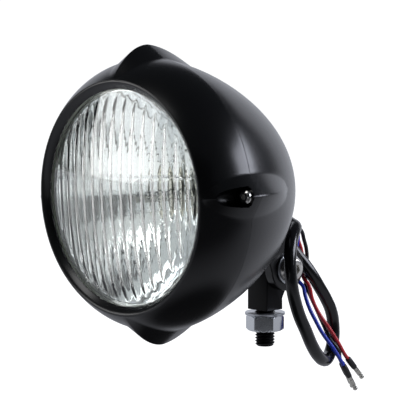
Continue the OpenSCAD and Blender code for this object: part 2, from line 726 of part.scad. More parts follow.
module sleeve_red() {
    color([0.06, 0.06, 0.06]) at_end(red_route) end_sleeve();
}

module sleeve_black() {
    color([0.06, 0.06, 0.06]) at_end(black_route) end_sleeve();
}

module bullet_blue() {
    color("silver") at_end(blue_route) bullet();
}

module bullet_red() {
    color("silver") at_end(red_route) bullet();
}

module bullet_black() {
    color("silver") at_end(black_route) bullet();
}

// Leads inside the shell, from the connector to the start of the jacket in the grommet
module inner_leads() {
    back_y = connector_front_d + connector_l - stud_back;
    start = jacket_route[0];
    inward = unit(jacket_route[0] - jacket_route[1]);
    colours = ["mediumblue", "firebrick", [0.08, 0.08, 0.08]];
    for (i = [0:2]) let (side = i - 1, end = start + 0.4 * inward + [side * wire_d, 0, 0])
        color(colours[i]) tube([[side * blade_out, back_y + 0.1, axis_h],
            [side * blade_out, back_y + 4, axis_h - 0.4],
            [side * 4.4, (back_y + start[1]) / 2 + 1.5, (axis_h + start[2]) / 2 + 1.4],
            end + 3 * inward, end], wire_d, 8);
}

headlight_shell();
front_bezel();
lens();
lens_seal();
reflector();
reflector_clips();
bulb_holder();
bulb_glass();
bulb_filaments();
bulb_shield();
bulb_cap();
bulb_terminals();
bulb_spring();
bulb_connector();
rubber_boot();
bezel_screws();
cable_grommet();
inner_leads();
pivot_bolt();
pivot_washers();
pivot_nut();
mount_block();
stud_washer();
stud_nut();
cable_jacket();
wire_blue();
wire_red();
wire_black();
sleeve_blue();
sleeve_red();
sleeve_black();
bullet_blue();
bullet_red();
bullet_black();
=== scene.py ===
# %% [markdown]
# # A round motorcycle headlight
#
# The real lamp is a cast and painted bowl with a clamped front ring, a pressed-glass lens, a
# mirror-bright reflector, a bulb, a stud mount under its back and a short cable with pin ends.
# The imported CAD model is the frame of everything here: it gives each piece its place and its
# real size. This lesson dresses it, piece by piece, in meshes and finishes that stand close study.

# %% Load the frame
import math

import bmesh
import bpy
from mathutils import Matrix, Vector


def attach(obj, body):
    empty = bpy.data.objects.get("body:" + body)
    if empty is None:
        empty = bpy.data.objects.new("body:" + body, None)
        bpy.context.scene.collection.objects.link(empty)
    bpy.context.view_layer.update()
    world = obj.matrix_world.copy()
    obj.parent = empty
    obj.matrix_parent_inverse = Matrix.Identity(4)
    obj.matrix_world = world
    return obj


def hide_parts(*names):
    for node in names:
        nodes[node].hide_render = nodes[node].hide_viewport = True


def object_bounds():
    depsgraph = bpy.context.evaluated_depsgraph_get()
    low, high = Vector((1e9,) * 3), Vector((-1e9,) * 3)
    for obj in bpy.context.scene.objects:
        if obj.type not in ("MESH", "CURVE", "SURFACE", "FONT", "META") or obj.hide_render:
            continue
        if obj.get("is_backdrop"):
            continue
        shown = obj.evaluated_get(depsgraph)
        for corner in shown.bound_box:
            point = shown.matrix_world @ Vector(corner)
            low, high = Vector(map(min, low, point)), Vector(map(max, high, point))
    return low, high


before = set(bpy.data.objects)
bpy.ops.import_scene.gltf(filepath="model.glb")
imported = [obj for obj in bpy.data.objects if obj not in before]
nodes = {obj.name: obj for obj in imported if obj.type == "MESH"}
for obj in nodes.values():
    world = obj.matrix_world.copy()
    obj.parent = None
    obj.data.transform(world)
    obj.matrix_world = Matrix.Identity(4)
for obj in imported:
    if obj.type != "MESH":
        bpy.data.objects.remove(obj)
cad_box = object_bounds()
MM = 0.001


def place_new(name, data):
    """A new object in the scene that shows these data."""
    placed = bpy.data.objects.new(name, data)
    bpy.context.scene.collection.objects.link(placed)
    return placed


# %% [markdown]
# ## The camera
#
# The photo was taken from the lamp's front left, a little above its axis, from afar, so that the
# round rim looks like a clean ellipse. A long lens at 1.3 m gives the same view. The camera is
# set off sideways, so that the lamp sits left of the middle, as in the photo.

# %% Set the camera
LENS_Y, AXIS_Z = -97.4, 62.3  # the lens's edge lies in this plane, about this height
FAR, ASIDE, DOWN = 1.3, 37.3 * MM, 0.84 * MM
lens_centre = Vector((0, LENS_Y, AXIS_Z)) * MM
azimuth, elevation = math.radians(46.14), math.radians(6.33)
to_camera = Vector((math.sin(azimuth) * math.cos(elevation),
                    -math.cos(azimuth) * math.cos(elevation), math.sin(elevation)))
to_right = Vector((math.cos(azimuth), math.sin(azimuth), 0))
upward = to_camera.cross(to_right)
camera = place_new("camera", bpy.data.cameras.new("camera"))
camera.data.sensor_width = 36
camera.data.lens = 244.08
camera.location = lens_centre + FAR * to_camera + ASIDE * to_right - DOWN * upward
camera.rotation_mode = "QUATERNION"
camera.rotation_quaternion = (-to_camera).to_track_quat("-Z", "Y")
bpy.context.scene.camera = camera
print("camera at", [round(c, 3) for c in camera.location])

# %% [markdown]
# ## Helpers for shader nodes
#
# Every finish below is a small network of nodes. One function adds a node, sets what doesn't
# vary, and either sets or links its sockets. Others open a tree, end it with a Principled shader
# and add the kinds of node that come most often. Colours are written as sRGB hex values, as a
# paint maker gives them, and turned to the linear values that the shader counts in.

# %% Add nodes
def linear(hex_colour):
    """The linear RGBA of an sRGB hex colour."""
    channels = [int(hex_colour[i:i + 2], 16) / 255 for i in (1, 3, 5)]
    return [c / 12.92 if c <= 0.04045 else ((c + 0.055) / 1.055) ** 2.4 for c in channels] + [1.0]


def add_node(tree, kind, sockets=None, **settings):
    """Adds a shader node. Sockets that are given another node's output are linked to it."""
    node = tree.nodes.new("ShaderNode" + kind)
    for name, value in settings.items():
        setattr(node, name, value)
    for name, value in (sockets or {}).items():
        if isinstance(value, bpy.types.NodeSocket):
            tree.links.new(value, node.inputs[name])
        else:
            node.inputs[name].default_value = value
    return node


def open_tree(block):
    """The emptied node tree of a material or a world."""
    block.use_nodes = True
    block.node_tree.nodes.clear()
    return block.node_tree


def principled(tree, **sockets):
    """Ends a material's tree with a Principled shader and the output."""
    shader = add_node(tree, "BsdfPrincipled",
                      {key.replace("_", " "): value for key, value in sockets.items()})
    add_node(tree, "OutputMaterial", {"Surface": shader.outputs["BSDF"]})


def ramp(tree, value, least, most, start=0.0, end=1.0):
    """Spreads a value's stretch from start to end over least to most."""
    return add_node(tree, "MapRange", {
        "Value": value, "From Min": start, "From Max": end,
        "To Min": least, "To Max": most}).outputs["Result"]


def maths(tree, operation, *values):
    """One Math node on numbers or outputs."""
    return add_node(tree, "Math", dict(enumerate(values)),
                    operation=operation).outputs[0]


def choose(tree, chance, plain, special):
    """A Mix Shader between two shaders' outputs."""
    return add_node(tree, "MixShader", {0: chance, 1: plain, 2: special}).outputs[0]


def per_mm(size):
    """The texture scale that makes one cell of a pattern this many millimetres wide."""
    return 1 / (size * MM)


def noise(tree, cell, detail=2, **more):
    """Soft noise in the piece's own space, with cells of so many millimetres."""
    space = add_node(tree, "TexCoord").outputs["Object"]
    return add_node(tree, "TexNoise", {"Vector": space, "Scale": per_mm(cell),
                                       "Detail": detail, **more}).outputs["Fac"]


def relief(tree, height, strength, depth):
    """The normal of a shallow relief, with its depth in millimetres."""
    return add_node(tree, "Bump", {"Height": height, "Strength": strength,
                                   "Distance": depth * MM}).outputs["Normal"]


print("one pattern cell of 9 mm has the scale", round(per_mm(9)))

# %% [markdown]
# ## One recipe for plain stock
#
# No real surface is quite even. Vinyl shrinks over its wires, and plating dulls in patches. One
# soft noise of the right size carries that: it shifts the tone a little, spreads the roughness
# over a narrow range, and raises a shallow relief.

# %% A finish that drifts
def drifting_finish(name, colour, cell, detail=2, dull=None, shine=None, bump=None, **sockets):
    """Tone, roughness and relief follow one noise with cells of so many millimetres.

    The tone runs from colour to dull, shine is the lowest and highest roughness, and bump is the
    relief's strength and its depth in millimetres.
    """
    material = bpy.data.materials.new(name)
    tree = open_tree(material)
    drift = noise(tree, cell, detail)
    sockets["Base_Color"] = linear(colour)
    if dull:
        sockets["Base_Color"] = add_node(
            tree, "Mix", {"Factor": drift, "A": linear(colour), "B": linear(dull)},
            data_type="RGBA").outputs["Result"]
    if shine:
        sockets["Roughness"] = ramp(tree, drift, *shine)
    if bump:
        sockets["Normal"] = relief(tree, drift, *bump)
    principled(tree, **sockets)
    return material


print("recipe ready")

# %% [markdown]
# ## The cable and its wires
#
# A cord keeps its real length and hangs under its own weight. The jacket leaves the grommet
# behind the bowl, turns back under it, drops beside the stud and comes up again behind the pivot
# bolt. There the three wires come out, turn over and hang down to their pin ends. Each one is a
# curve through given points with a round section, so that it stays smooth at any distance.

# %% Finishes of the cable
# The jacket shrinks a little over its wires, which leaves slow waves about 9 mm apart
cable_vinyl = drifting_finish("extruded black vinyl", "#0d0d0f", 9, 3, shine=(0.14, 0.24),
                              bump=(0.25, 0.3))
# Thin-wall insulation is dyed through and smooth from the die, with faint streaks
blue_vinyl, red_vinyl, black_vinyl = [
    drifting_finish(name + " wire vinyl", colour, 3, dull=worn, shine=(0.25, 0.4))
    for name, colour, worn in (("blue", "#2038c4", "#3453dc"), ("red", "#cc1722", "#dd3a42"),
                               ("black", "#0d0d0f", "#17171a"))]
print("cable finishes made")

# %% Lay the cable and the wires
def lay_cord(name, route, diameter, finish, stands_for):
    """A round cord through the route's points."""
    curve = bpy.data.curves.new(name, "CURVE")
    curve.dimensions = "3D"
    curve.bevel_depth = diameter / 2 * MM
    curve.bevel_resolution = 5
    curve.resolution_u = 8
    curve.use_fill_caps = True
    spline = curve.splines.new("BEZIER")
    spline.bezier_points.add(len(route) - 1)
    for point, place in zip(spline.bezier_points, route):
        point.co = Vector(place) * MM
        point.handle_left_type = point.handle_right_type = "AUTO"
    piece = place_new(name, curve)
    bpy.context.view_layer.update()
    curve.materials.append(finish)
    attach(piece, "lamp")
    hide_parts(stands_for)


jacket_route = [(0, -6.5, 50), (0, -1.8, 48.3), (0, 2.9, 46.6), (0.6, 6.6, 45.2), (3, 9.6, 43.8),
                (6.4, 10.2, 42.6), (10, 9, 41.9), (14, 7.4, 41.1), (17, 3.8, 39.7),
                (19.6, -0.2, 37.4), (22, -3.8, 34.2), (23.8, -6.2, 30), (25, -7.6, 24.6),
                (25.8, -7.8, 18.4), (26, -6.8, 11.6), (26, -4.6, 4.6), (26, -1.6, -2.4),
                (26, 2.8, -10), (25.2, 8.2, -18.2), (23.4, 14.6, -24.4), (20.4, 21.6, -27.8),
                (17, 28, -28.3), (13.9, 33.5, -25.8), (12.4, 37.2, -20), (11.4, 38.4, -13),
                (11, 37.2, -5.6), (10.6, 33.6, 1.4), (10, 29, 8.2), (9, 24.8, 14.6),
                (7, 20.8, 20.8), (4.8, 17.9, 25.2), (3, 16.4, 28.4)]
lay_cord("jacket", jacket_route, 6.4, cable_vinyl, "cable_jacket")

blue_route = [(4.1, 15.5, 28.9), (4.4, 14.6, 31.2), (4.7, 15, 33.8), (4.8, 16.8, 35.4),
              (4.4, 19, 34.8), (3, 20.6, 32.2), (1.8, 21.2, 29), (1.6, 21.6, 25.4),
              (1.8, 22.4, 21), (2.6, 21, 15.8), (5, 18.8, 12), (8.2, 19.4, 8.6), (9.6, 19.2, 4.8),
              (12, 19.8, -1.6), (14.4, 21.8, -8), (16.6, 24.8, -14.8), (18.8, 30.2, -22.6),
              (20.8, 34.8, -30.4), (21, 35.8, -32.1)]

red_route = [(1.8, 16.5, 28.1), (0.2, 16, 31), (-0.5, 17.4, 34.2), (-0.3, 20, 35.6),
             (0.6, 22.4, 34.2), (1.2, 22.9, 31.4), (1.8, 24.4, 26.6), (2, 25.4, 20.6),
             (3.4, 23.8, 15.2), (6.8, 21.6, 12.2), (10, 21.4, 9.6), (11, 23.2, 2),
             (13, 26, -5.2), (15.6, 30.6, -12.8), (17.8, 35, -20.4), (18.9, 39.4, -27.6),
             (19, 41, -29.3)]

black_route = [(3.2, 17.6, 29.3), (2, 17.3, 32.6), (1.8, 19, 36.4), (1.8, 21.8, 38),
               (2, 24.4, 36.2), (2.2, 25.8, 32.2), (2.4, 27.6, 26.4), (2.2, 28.2, 20.2),
               (3.2, 26.6, 14), (5.6, 24, 8.8), (8.8, 24, 3.6), (10.2, 27, -3.4),
               (12.6, 29.8, -11.6), (15.4, 31.6, -18.6), (18.6, 34.8, -24.8),
               (17.8, 36.8, -29.6), (17.9, 37.7, -31.2)]
for colour, route, vinyl, slot in (("blue", blue_route, blue_vinyl, "blue_insulation"),
                                   ("red", red_route, red_vinyl, "red_insulation"),
                                   ("black", black_route, black_vinyl, "lead_insulation")):
    lay_cord(colour + "_wire", route, 2, vinyl, "wire_" + colour)

# %% [markdown]
# ## The studio
#
# A product shot like this one is made on a white sweep, with one large soft light at the right
# of the picture, one that the lens mirrors, and a weak one from above. Glossy black shows nothing
# but what it reflects, so the paper carries painted reflections that only glossy rays see: painted
# black cards under the lamp and before it keep the paint black, while a painted white card at the
# left of the picture and a painted brighter stretch of paper behind draw soft lights on it.
# Through the glass the room shows pale. The sweep is white to the camera by its own colour and
# not by more light, so it still takes a soft shadow.

# %% Floor, sweep and room
low, high = cad_box
floor_z = low.z - 0.5 * MM


def stage_sheet(name, points, faces, finish):
    """A sheet of the studio, which is no piece of the lamp."""
    sheet = place_new(name, bpy.data.meshes.new(name))
    sheet.data.from_pydata(points, [], faces)
    sheet.data.polygons.foreach_set("use_smooth", [True] * len(faces))
    sheet.data.materials.append(finish)
    sheet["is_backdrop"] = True
    return sheet


sweep_paper_and_painted_cards = bpy.data.materials.new("white sweep paper and painted card reflections")
tree = open_tree(sweep_paper_and_painted_cards)
path = add_node(tree, "LightPath")
seen = maths(tree, "MAXIMUM", path.outputs["Is Camera Ray"], path.outputs["Is Transmission Ray"])
# Only the lamp's reflections see this: painted dark cards under the lamp and in front of it, a
# painted white card at the left and a painted brighter stretch of paper behind, all as a glow on
# the paper at places measured in metres
away = Vector((-to_camera.x, -to_camera.y, 0)).normalized()
across = Vector((to_right.x, to_right.y, 0))
place = add_node(tree, "TexCoord").outputs["Object"]
from_lamp = add_node(tree, "VectorMath", {0: place, 1: (0.03, -0.065, floor_z)},
                     operation="DISTANCE").outputs["Value"]
behind, at_left = [add_node(tree, "VectorMath", {0: place, 1: way},
                            operation="DOT_PRODUCT").outputs["Value"] for way in (away, -across)]
# painted reflections: a dark patch under the lamp, darker paper in front, brighter paper behind
# and a white card at the left, none of them real things
painted_dark_under_lamp = ramp(tree, from_lamp, 0.1, 1.0, 0.042, 0.068)
painted_dark_front = ramp(tree, behind, 0.07, 0.5, -0.23, -0.12)
painted_bright_back = ramp(tree, behind, 0.0, 0.4, 0.05, 0.6)
painted_white_card = maths(tree, "MULTIPLY", maths(tree, "COMPARE", at_left, 0.28, 0.12), 0.6)
painted_light_level = maths(tree, "MAXIMUM", maths(tree, "ADD", painted_dark_front, painted_bright_back), painted_white_card)
painted_reflection_glow = maths(tree, "MULTIPLY", painted_dark_under_lamp, painted_light_level)
grain = add_node(tree, "TexNoise", {"Scale": per_mm(40), "Detail": 2}).outputs["Fac"]
paper = add_node(tree, "BsdfDiffuse", {"Color": ramp(tree, grain, 0.49, 0.51)}).outputs[0]
glow = add_node(tree, "Emission", {"Strength": 1.0}).outputs[0]
screen = add_node(tree, "AddShader", {0: paper, 1: glow}).outputs[0]
# painted card glow: an emission that glossy rays alone see, standing in for reflected cards
painted_card_glow = add_node(tree, "Emission", {"Color": linear("#eef1fb"), "Strength": painted_reflection_glow}).outputs[0]
bounced = choose(tree, path.outputs["Is Glossy Ray"], paper, painted_card_glow)
add_node(tree, "OutputMaterial", {"Surface": choose(tree, seen, bounced, screen)})

# The sweep's section: flat floor, a quarter bend and a wall, drawn away from the camera
FLAT, BEND, HALF_WIDTH = 2.2, 0.6, 2.4
section = [(-1.6, 0), (FLAT, 0)]
section += [(FLAT + BEND * math.sin(math.radians(a)), BEND - BEND * math.cos(math.radians(a)))
            for a in range(10, 91, 10)]
section += [(FLAT + BEND, 1.9)]
points = [away * along + across * side + Vector((0, 0, floor_z + up))
          for along, up in section for side in (-HALF_WIDTH, HALF_WIDTH)]
faces = [(2 * i, 2 * i + 1, 2 * i + 3, 2 * i + 2) for i in range(len(section) - 1)]
stage_sheet("sweep", points, faces, sweep_paper_and_painted_cards)

world = bpy.data.worlds.new("studio room")
bpy.context.scene.world = world
tree = open_tree(world)
path = add_node(tree, "LightPath")
room, pale, white = [
    add_node(tree, "Background", {"Color": linear(colour), "Strength": strength}).outputs[0]
    for colour, strength in (("#8d949c", 0.2), ("#f2f5f6", 0.8), ("#ffffff", 1.0))]
through_glass = choose(tree, path.outputs["Is Transmission Ray"], room, pale)
backdrop = choose(tree, path.outputs["Is Camera Ray"], through_glass, white)
add_node(tree, "OutputWorld", {"Surface": backdrop})
bpy.context.scene.view_settings.view_transform = "Standard"
print("floor at", round(floor_z / MM, 1), "mm")

# %% Soft lights
LAMP_MIDDLE = Vector((0, -50, 55)) * MM


def softbox(name, direction, distance, width, height, power, colour="#ffffff"):
    """A soft light that hangs in one direction from the lamp and faces it."""
    light = bpy.data.lights.new(name, "AREA")
    light.shape = "RECTANGLE"
    light.size, light.size_y = width, height
    light.energy = power
    light.color = linear(colour)[:3]
    box = place_new(name, light)
    way = Vector(direction).normalized()
    box.location = LAMP_MIDDLE + way * distance
    box.rotation_mode = "QUATERNION"
    box.rotation_quaternion = (-way).to_track_quat("-Z", "Y")
    box.visible_camera = False
    return box


side_light = softbox("side_softbox", (0.62, 0.66, 0.37), 1.1, 0.85, 0.44, 8.5, "#eef2ff")
side_light.visible_transmission = False  # behind the lamp, so the glass never faces it
softbox("lens_softbox", (-0.68, -0.71, 0.18), 1.4, 0.64, 0.6, 3.5)
softbox("fill_softbox", (-0.15, -0.6, 0.8), 1.8, 0.8, 0.5, 4.5)

# %% Hang a black flag beside the camera
# Through the flutes the dark flag shows as the many dark lines that make cut glass look crisp
FLAG_FAR, FLAG_SIDE, FLAG_LOW, FLAG_HIGH = 1.15, 0.45, -0.1, 0.5
flag_cloth = bpy.data.materials.new("black flag cloth")
tree = open_tree(flag_cloth)
weave = add_node(tree, "TexNoise", {"Scale": per_mm(2)}).outputs["Fac"]
principled(tree, Base_Color=linear("#0a0a0a"), Roughness=0.9,
           Normal=relief(tree, weave, 0.3, 0.5))
flag_middle = LAMP_MIDDLE + FLAG_FAR * to_camera
corners = [flag_middle + side * to_right + rise * upward
           for side, rise in ((-FLAG_SIDE, FLAG_LOW), (FLAG_SIDE, FLAG_LOW),
                              (FLAG_SIDE, FLAG_HIGH), (-FLAG_SIDE, FLAG_HIGH))]
flag = stage_sheet("black_flag", corners, [(0, 1, 2, 3)], flag_cloth)
flag.visible_camera = False
print("flag hung")

# %% [markdown]
# ## The lamp's own frame
#
# Nearly all pieces are turned about the lamp's axis. So points are given by an angle, a radius
# and a depth behind the lens's edge, in millimetres. Rings of points make a grid of faces.

# %% Points and grids about the lamp's axis
LAMP_TURN = math.radians(4)  # fins and lens are turned a little against the upright stud


def lamp_point(angle, radius, depth):
    """A point about the lamp's axis. Angle 0 is the side that the mount's bolt head is on."""
    return (radius * math.cos(angle), depth + LENS_Y, AXIS_Z + radius * math.sin(angle))


def ring_faces(rows, columns):
    """Quads between closed rings, wound so that they face out when depths run back."""
    return [(i * columns + j, (i + 1) * columns + j, (i + 1) * columns + (j + 1) % columns,
             i * columns + (j + 1) % columns)
            for i in range(rows - 1) for j in range(columns)]


def flipped(faces):
    """The same faces, wound the other way."""
    return [tuple(reversed(f)) for f in faces]


def looped_faces(rows, columns):
    """Faces of a solid ring: its last ring of points joins its first one."""
    last = (rows - 1) * columns
    return ring_faces(rows, columns) + [
        (last + j, j, (j + 1) % columns, last + (j + 1) % columns) for j in range(columns)]


def capped_faces(rows, columns):
    """Faces of a solid whose first and last rings of points are closed by flat ends."""
    last = (rows - 1) * columns
    return flipped(ring_faces(rows, columns)) + [
        tuple(range(columns)), tuple(reversed(range(last, last + columns)))]


def new_piece(name, points, faces, finish, body, sharp_from=None):
    """A mesh in millimetres becomes a smooth-shaded piece that rides on a body."""
    mesh = bpy.data.meshes.new(name)
    mesh.from_pydata([Vector(p) * MM for p in points], [], faces)
    shape = bmesh.new()
    shape.from_mesh(mesh)
    bmesh.ops.recalc_face_normals(shape, faces=shape.faces)
    shape.to_mesh(mesh)
    shape.free()
    mesh.polygons.foreach_set("use_smooth", [True] * len(faces))
    mesh.materials.append(finish)
    if sharp_from:
        mesh.set_sharp_from_angle(angle=math.radians(sharp_from))
    piece = place_new(name, mesh)
    if body:
        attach(piece, body)
    return piece


def circle(columns):
    """The angles of points that lie evenly around a circle."""
    return [2 * math.pi * j / columns for j in range(columns)]


def turned(name, profile, finish, columns=160):
    """A closed section of (radius, depth) pairs, turned about the lamp's axis."""
    points = [lamp_point(a, r, d) for r, d in profile for a in circle(columns)]
    return new_piece(name, points, looped_faces(len(profile), columns), finish, "lamp", 35)


def line_axes(start, along):
    """A line's start and direction, and two directions square to it."""
    along = Vector(along).normalized()
    side = along.orthogonal().normalized()
    return Vector(start), along, side, along.cross(side)


def turned_along(name, start, along, profile, finish, body, columns=40, sharp_from=40,
                 looped=False):
    """A solid turned about any line, from (distance, radius) pairs: a ring, or with flat ends."""
    start, along, side, other = line_axes(start, along)
    points = [start + d * along + r * (math.cos(a) * side + math.sin(a) * other)
              for d, r in profile for a in circle(columns)]
    rows = len(profile)
    faces = flipped(looped_faces(rows, columns)) if looped else capped_faces(rows, columns)
    return new_piece(name, points, faces, finish, body, sharp_from)


print("fins and lens turned by", round(math.degrees(LAMP_TURN)), "degrees")

# %% Tools that cut and join
def cut_or_join(piece, tools, operation="DIFFERENCE"):
    """Cuts tools out of a piece, or joins them to it, and takes the tools away."""
    for tool in tools:
        step = piece.modifiers.new(tool.name, "BOOLEAN")
        step.operation = operation
        step.object = tool
        step.solver = "EXACT"
        bpy.context.view_layer.update()
        graph = bpy.context.evaluated_depsgraph_get()
        baked = bpy.data.meshes.new_from_object(piece.evaluated_get(graph))
        piece.modifiers.clear()
        piece.data = baked
        bpy.data.objects.remove(tool)


def rod(name, start, end, radius, sides=48):
    """A plain round tool between two points, for cutting bores."""
    end = Vector(end)
    start, _, side, other = line_axes(start, end - Vector(start))
    points = [place + radius * (math.cos(a) * side + math.sin(a) * other)
              for place in (start, end) for a in circle(sides)]
    faces = [(j, (j + 1) % sides, sides + (j + 1) % sides, sides + j) for j in range(sides)]
    faces += [tuple(reversed(range(sides))), tuple(range(sides, 2 * sides))]
    return new_piece(name, points, faces, black_enamel, None)


print("tools ready")

# %% [markdown]
# ## Satin black enamel
#
# The bowl and its ring are castings, sanded and sprayed with black enamel, then baked. Close up
# the paint has orange peel, slow dimples about 1.5 mm across, and it is satin: it spreads a
# light's reflection into a broad soft band. A dielectric with an IOR of 1.5 and a roughness
# between 0.22 and 0.29 gives that, and the dimples go in as a very shallow bump.

# %% Make the enamel
black_enamel = bpy.data.materials.new("satin black enamel")
tree = open_tree(black_enamel)
orange_peel = noise(tree, 1.5, Roughness=0.4)
principled(tree, Base_Color=linear("#0b0b0d"), Roughness=ramp(tree, noise(tree, 30), 0.22, 0.29),
           Normal=relief(tree, orange_peel, 0.12, 0.02))
print("finish:", black_enamel.name)

# %% [markdown]
# ## The finned body
#
# Bowl and ring share one outside form: an egg-like curve with four low fins that are highest at
# the seam. Each fin is a ridge between two flat flanks, and a fillet of half a millimetre at ridge
# and root makes the thin lines of light there. So some points of each ring lie on the flanks,
# close together at ridge and root, and the rest share out the arc between two fins.

# %% Work out the body's form
SEAM_R, SEAM_D, WIDEST_D, SHELL_L = 66.4, 22, 21, 78.7
FRONT_ARC, FIN_H, FIN_W, FIN_FRONT, FIN_REAR = 34, 6.6, 20.8, 24, 37.5
BOWL_POWER, RIDGE_SOFT, FIN_STEP, LEAST_HALF = 1.38, 0.045, 0.3, math.radians(1.2)
SEAM_GAP, WALL, SCREW_R = 0.05, 3, 67.5
FLANK = (0, 0.035, 0.09, 0.3, 0.62, 0.9, 0.965, 1)
ARC = [0.012, 0.035] + [0.07 + 0.86 * i / 20 for i in range(21)] + [0.965, 0.988]


def bowl_r(depth, radius=SEAM_R, length=SHELL_L):
    """Radius of the bowl's curve at a depth."""
    return radius * math.sqrt(max(0, 1 - max(0, (depth - WIDEST_D) / length) ** BOWL_POWER))


def body_r(depth):
    """Radius of the body's outside between the fins."""
    if depth < WIDEST_D:
        return SEAM_R - FRONT_ARC + math.sqrt(FRONT_ARC ** 2 - (WIDEST_D - depth) ** 2)
    return bowl_r(depth)


def finned_ring(depth, inset=0):
    """One ring of the outside, as (angle, radius) pairs, with its four fins."""
    reach = FIN_FRONT if depth < SEAM_D else FIN_REAR
    share = max(0, 1 - ((depth - SEAM_D) / reach) ** 2)
    radius = body_r(depth)
    half = max(FIN_W / 2 * math.sqrt(share), radius * math.sin(LEAST_HALF))
    root = math.sqrt(radius ** 2 - half ** 2)
    ridge = radius + FIN_H * share
    root_angle = math.atan2(half, root)
    step = FIN_STEP * math.sqrt(share)  # a fin's edge stands a little proud of the body

    def flank(t):
        fall = (math.hypot(t, RIDGE_SOFT) - RIDGE_SOFT) / (math.hypot(1, RIDGE_SOFT) - RIDGE_SOFT)
        height = ridge + (root + step - ridge) * fall
        return math.atan2(half * t, height), math.hypot(half * t, height) - inset

    ring = []
    for quarter in range(4):
        middle = LAMP_TURN + quarter * math.pi / 2
        ring += [(middle - a, r) for a, r in map(flank, reversed(FLANK[1:]))]
        ring += [(middle + a, r) for a, r in map(flank, FLANK)]
        span = math.pi / 2 - 2 * root_angle
        ring += [(middle + root_angle + span * t, radius - inset) for t in ARC]
    return ring


COLUMNS = len(finned_ring(SEAM_D))
ANGLES = [a for a, _ in finned_ring(SEAM_D)]
print("points in a ring:", COLUMNS)

# %% Build the bowl
def plain_rows(section):
    """Points of round rings at the fins' angles, for (radius, depth) pairs."""
    return [lamp_point(a, r, d) for r, d in section for a in ANGLES]


def finned_rows(rows):
    """Points of finned rings, for (depth, inset) pairs."""
    return [lamp_point(a, r, d) for d, inset in rows for a, r in finned_ring(d, inset)]


def depths(start, end, steps):
    """Depths from start to end that come ever closer together."""
    return [start + (end - start) * t * (2 - t) for t in (i / steps for i in range(steps + 1))]


REAR_FACE, BOWL_END, HOLLOW_START, HOLLOW_END = SEAM_D + SEAM_GAP, 99.6, 30, 96.5
outer_rows = [(REAR_FACE, 0.14), (REAR_FACE + 0.03, 0.05)]
outer_rows += [(d, 0) for d in depths(REAR_FACE + 0.2, BOWL_END, 64)]
inner = [(61.3, REAR_FACE), (61.3, 17), (59.7, 17), (59.7, HOLLOW_START)]
inner += [(bowl_r(d, SEAM_R - WALL, SHELL_L - WALL), d)
          for d in depths(HOLLOW_START, HOLLOW_END, 20)]
bowl_faces = capped_faces(len(inner) + len(outer_rows), COLUMNS)
shell = new_piece("bowl", plain_rows(inner[::-1]) + finned_rows(outer_rows), bowl_faces,
                  black_enamel, "lamp")
print("bowl faces:", len(bowl_faces))

# %% [markdown]
# ### Ears, bores and the cable's hole
#
# The two ears of the clevis are cast with the bowl, so they join it. Each outline is the ear's
# round end together with a web that runs up to the bowl. The bores are cut after that, as a
# machinist would, so that each one goes clean through.

# %% Add the ears and cut the bores
PIVOT_Y, PIVOT_Z, EAR_R, EAR_IN, EAR_T = 3.7, 20, 11.3, 7.3, 5.2


def ray_to_outline(angle, corners):
    """How far the outline of corners lies from its middle at an angle."""
    way = Vector((math.cos(angle), math.sin(angle)))
    best = 0
    for a, b in zip(corners, corners[1:] + corners[:1]):
        a, b = Vector(a), Vector(b)
        side = b - a
        det = way.x * -side.y + way.y * side.x
        if abs(det) > 1e-9:
            reach = (a.x * -side.y + a.y * side.x) / det
            share = (way.x * a.y - way.y * a.x) / det
            if reach > best and -1e-6 <= share <= 1 + 1e-6:
                best = reach
    return best


def slab(name, outline, x0, x1, finish, body=None, edge=0.5, centre=(0, 0)):
    """A plate across the lamp with an outline in Y and Z and slightly rounded edges."""
    lift = math.copysign(edge, x1 - x0)
    layers = [(x0, edge), (x0 + 0.3 * lift, 0.3 * edge), (x0 + lift, 0), (x1 - lift, 0),
              (x1 - 0.3 * lift, 0.3 * edge), (x1, edge)]
    points = []
    for x, inset in layers:
        for y, z in outline:
            r = math.hypot(y, z)
            points.append((x, centre[0] + y * (r - inset) / r, centre[1] + z * (r - inset) / r))
    faces = capped_faces(len(layers), len(outline))
    return new_piece(name, points, faces if x1 > x0 else flipped(faces), finish, body)


rise = AXIS_Z - PIVOT_Z
web = [(-EAR_R, -1), (-EAR_R - 6.4, 0.43 * rise), (-EAR_R - 2, 0.6 * rise), (-6, 0.71 * rise),
       (-5, 0.71 * rise), (EAR_R, 0)]
ear_outline = []
for a in circle(96):
    reach = max(EAR_R, ray_to_outline(a, web))
    ear_outline.append((reach * math.cos(a), reach * math.sin(a)))
ears = [slab("ear_" + side, ear_outline, sign * EAR_IN, sign * (EAR_IN + EAR_T), black_enamel,
             centre=(PIVOT_Y, PIVOT_Z)) for side, sign in (("right", 1), ("left", -1))]
cut_or_join(shell, ears, "UNION")

GROMMET_DOWN, GROMMET_TILT, PIVOT_BORE_R = 14.5, math.radians(20), 4.05
grommet_d = WIDEST_D + SHELL_L * (1 - (GROMMET_DOWN / SEAM_R) ** 2) ** (1 / BOWL_POWER)
hole = Vector(lamp_point(-math.pi / 2, GROMMET_DOWN, grommet_d))
hole_way = Vector((0, math.cos(GROMMET_TILT), -math.sin(GROMMET_TILT)))
bores = [rod("cable_hole", hole - 8 * hole_way, hole + 8 * hole_way, 4.8),
         rod("pivot_bore", (-30, PIVOT_Y, PIVOT_Z), (30, PIVOT_Y, PIVOT_Z), PIVOT_BORE_R)]
bores += [rod("screw_bore", lamp_point(at, SCREW_R, 20), lamp_point(at, SCREW_R, 31.6), 2.05)
          for at in (LAMP_TURN, LAMP_TURN + math.pi)]
cut_or_join(shell, bores)


def shade_casting(piece):
    """Keeps a casting's edges crisp and its wide faces even."""
    piece.data.set_sharp_from_angle(angle=math.radians(16))
    piece.modifiers.new("even shading", "WEIGHTED_NORMAL").keep_sharp = True


